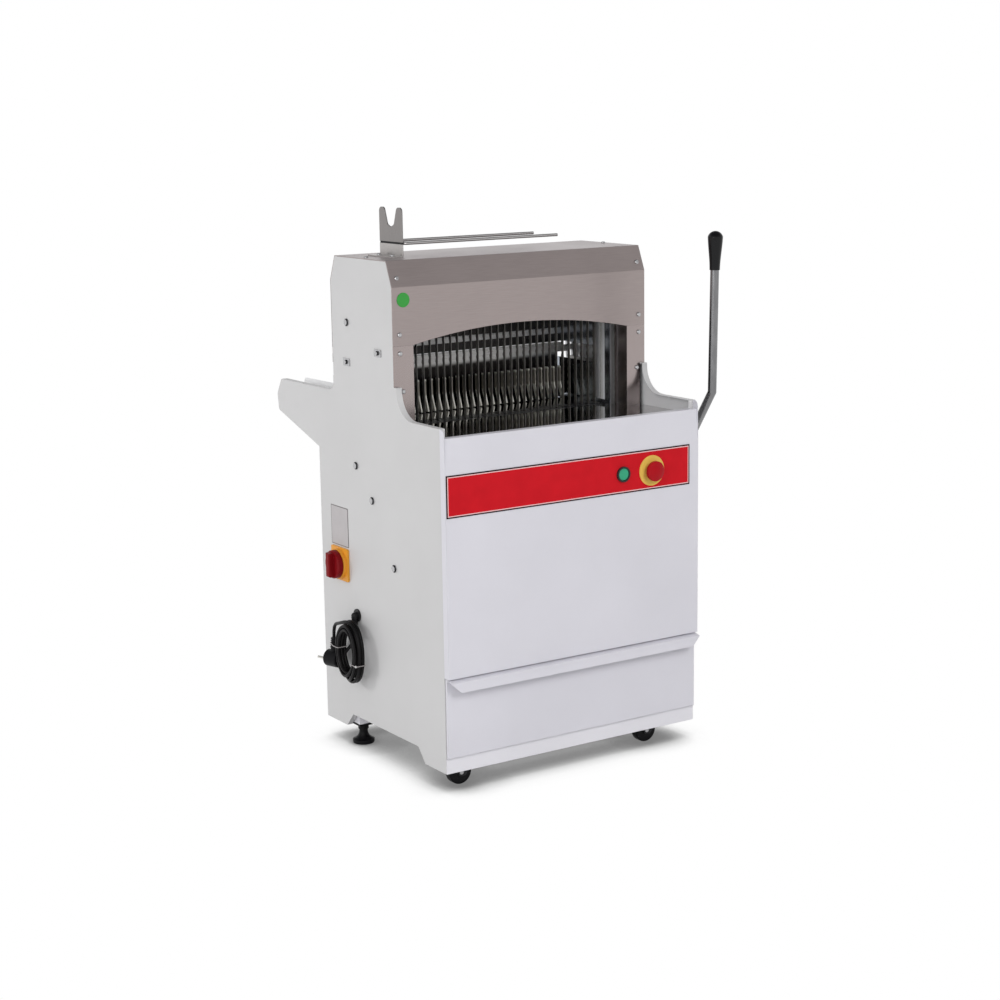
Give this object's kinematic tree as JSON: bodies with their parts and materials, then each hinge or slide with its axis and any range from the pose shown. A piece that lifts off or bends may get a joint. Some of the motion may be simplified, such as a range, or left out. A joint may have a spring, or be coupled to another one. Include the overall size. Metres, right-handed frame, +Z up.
{
  "type": "bread slicing machine",
  "caption": "Floor-standing electric bread slicer: two frames of toothed blades, a side lever that pushes the loaf through, crumb drawer, outfeed tray and bag holder.",
  "frame": {"origin": "on the floor under the centre of the machine's bounding box, the mains lead left out", "axes": "+Z up; -Y towards the operator and the outfeed tray; +X towards the side with the lever"},
  "size_m": [0.6979, 0.6876, 1.103],
  "materials": {
    "panel_paint": "smooth light grey enamel",
    "cover_paint": "smooth light grey enamel",
    "column_steel": "brushed",
    "tray_steel": "fine brushed",
    "chassis_steel": "plain",
    "band_red": "gloss",
    "strip_plastic": "satin",
    "guide_plastic": "satin",
    "bearing_iron": "painted casting",
    "motor_paint": "enamel",
    "belt_rubber": "matt",
    "switch_yellow": "satin",
    "knob_red": "satin",
    "ring_yellow": "satin",
    "button_green": "satin",
    "bezel_chrome": "polished",
    "black_plastic": "matt",
    "foot_black": "matt",
    "screw_steel": "plain",
    "holder_steel": "fine brushed",
    "lever_chrome": "polished",
    "shaft_steel": "turned",
    "comb_metal": "satin",
    "frame_steel": "ground",
    "blade_steel": "ground",
    "fork_steel": "zinc plated",
    "wheel_black": "matt",
    "cord_black": "matt"
  },
  "bodies": {
    "machine": {"bag_fork": "holder_steel", "base_frame": "chassis_steel", "blade_strip": "strip_plastic", "button_bezel": "bezel_chrome", "cable_gland": "black_plastic", "cheek_left": "column_steel", "cheek_right": "column_steel", "control_band": "band_red", "cord_coil": "cord_black", "cord_lead": "cord_black", "cord_tail": "cord_black", "cover_screws": "screw_steel", "drive_belt": "belt_rubber", "fascia": "column_steel", "front_cover": "cover_paint", "guide_left": "guide_plastic", "guide_right": "guide_plastic", "hood": "column_steel", "infeed_tray": "tray_steel", "inner_plate_left": "chassis_steel", "inner_plate_right": "chassis_steel", "levelling_foot_left": "foot_black", "levelling_foot_right": "foot_black", "liner_left": "tray_steel", "liner_right": "tray_steel", "motor": "motor_paint", "outfeed_tray": "tray_steel", "plug": "black_plastic", "rear_cover": "panel_paint", "rear_upper_cover": "column_steel", "shaft_bearings": "bearing_iron", "side_panel_left": "panel_paint", "side_panel_right": "panel_paint", "stop_ring": "ring_yellow", "switch_plate": "switch_yellow"},
    "lever": {"lever_arm": "lever_chrome", "lever_grip": "black_plastic", "lever_shaft": "shaft_steel", "pusher_arms": "shaft_steel"},
    "pusher": {"pusher_comb": "comb_metal", "pusher_beam": "comb_metal"},
    "front_blade_set": {"front_blade_frame": "frame_steel", "front_blades": "blade_steel", "front_drive_rod": "shaft_steel"},
    "rear_blade_set": {"rear_blade_frame": "frame_steel", "rear_blades": "blade_steel", "rear_drive_rod": "shaft_steel"},
    "crank": {"crankshaft": "shaft_steel", "crank_pulley": "bearing_iron"},
    "motor_rotor": {"motor_pulley": "bearing_iron"},
    "drawer": {"drawer_box": "chassis_steel", "drawer_front": "cover_paint"},
    "start_button": {"start_button": "button_green"},
    "stop_button": {"stop_button": "knob_red"},
    "switch_knob": {"switch_knob": "knob_red"},
    "caster_left": {"caster_fork_left": "fork_steel"},
    "caster_right": {"caster_fork_right": "fork_steel"},
    "wheel_left": {"caster_wheel_left": "wheel_black"},
    "wheel_right": {"caster_wheel_right": "wheel_black"},
    "bag_prongs": {"bag_prongs": "holder_steel"}
  },
  "joints": [
    {"name": "lever_swing", "type": "hinge", "parent": "machine", "child": "lever", "pos_m": [0.3269, -0.02505, 0.29], "axis": [1, 0, 0], "range_deg": [-13.56, 13.8]},
    {"name": "pusher_slide", "type": "slide", "parent": "machine", "child": "pusher", "axis": [0, 1, 0], "range_m": [-0.1183, 0.1163]},
    {"name": "front_blades_stroke", "type": "slide", "parent": "machine", "child": "front_blade_set", "axis": [0, 0, 1], "range_m": [-0.025, 0.025]},
    {"name": "rear_blades_stroke", "type": "slide", "parent": "machine", "child": "rear_blade_set", "axis": [0, 0, 1], "range_m": [-0.0252, 0.0252]},
    {"name": "crank_spin", "type": "hinge", "parent": "machine", "child": "crank", "pos_m": [-0.0091, -0.06105, 0.425], "axis": [1, 0, 0], "continuous": true},
    {"name": "motor_spin", "type": "hinge", "parent": "machine", "child": "motor_rotor", "pos_m": [-0.1291, 0.08795, 0.335], "axis": [1, 0, 0], "continuous": true},
    {"name": "drawer_slide", "type": "slide", "parent": "machine", "child": "drawer", "axis": [0, -1, 0], "range_m": [0, 0.3]},
    {"name": "start_press", "type": "slide", "parent": "machine", "child": "start_button", "axis": [0, 1, 0], "range_m": [0, 0.003], "stiffness_N_per_m": 600},
    {"name": "stop_press", "type": "slide", "parent": "machine", "child": "stop_button", "axis": [0, 1, 0], "range_m": [0, 0.004]},
    {"name": "switch_turn", "type": "hinge", "parent": "machine", "child": "switch_knob", "pos_m": [-0.3091, 0.08595, 0.3825], "axis": [-1, 0, 0], "range_deg": [0, 90]},
    {"name": "caster_left_swivel", "type": "hinge", "parent": "machine", "child": "caster_left", "pos_m": [-0.2351, -0.26305, 0.066], "axis": [0, 0, 1], "continuous": true},
    {"name": "caster_right_swivel", "type": "hinge", "parent": "machine", "child": "caster_right", "pos_m": [0.2169, -0.26305, 0.066], "axis": [0, 0, 1], "continuous": true},
    {"name": "wheel_left_roll", "type": "hinge", "parent": "caster_left", "child": "wheel_left", "pos_m": [-0.2551, -0.26305, 0.025], "axis": [0, 1, 0], "continuous": true},
    {"name": "wheel_right_roll", "type": "hinge", "parent": "caster_right", "child": "wheel_right", "pos_m": [0.1969, -0.26305, 0.025], "axis": [0, 1, 0], "continuous": true},
    {"name": "prongs_lift", "type": "hinge", "parent": "machine", "child": "bag_prongs", "pos_m": [-0.2338, -0.02805, 1.0345], "axis": [0, -1, 0], "range_deg": [0, 90]}
  ],
  "couplings": [
    {"joint": "pusher_slide", "follows": "lever_swing", "m_per_rad": -0.49},
    {"joint": "rear_blades_stroke", "follows": "front_blades_stroke", "ratio": -1},
    {"joint": "motor_spin", "follows": "crank_spin", "ratio": 2.931}
  ]
}
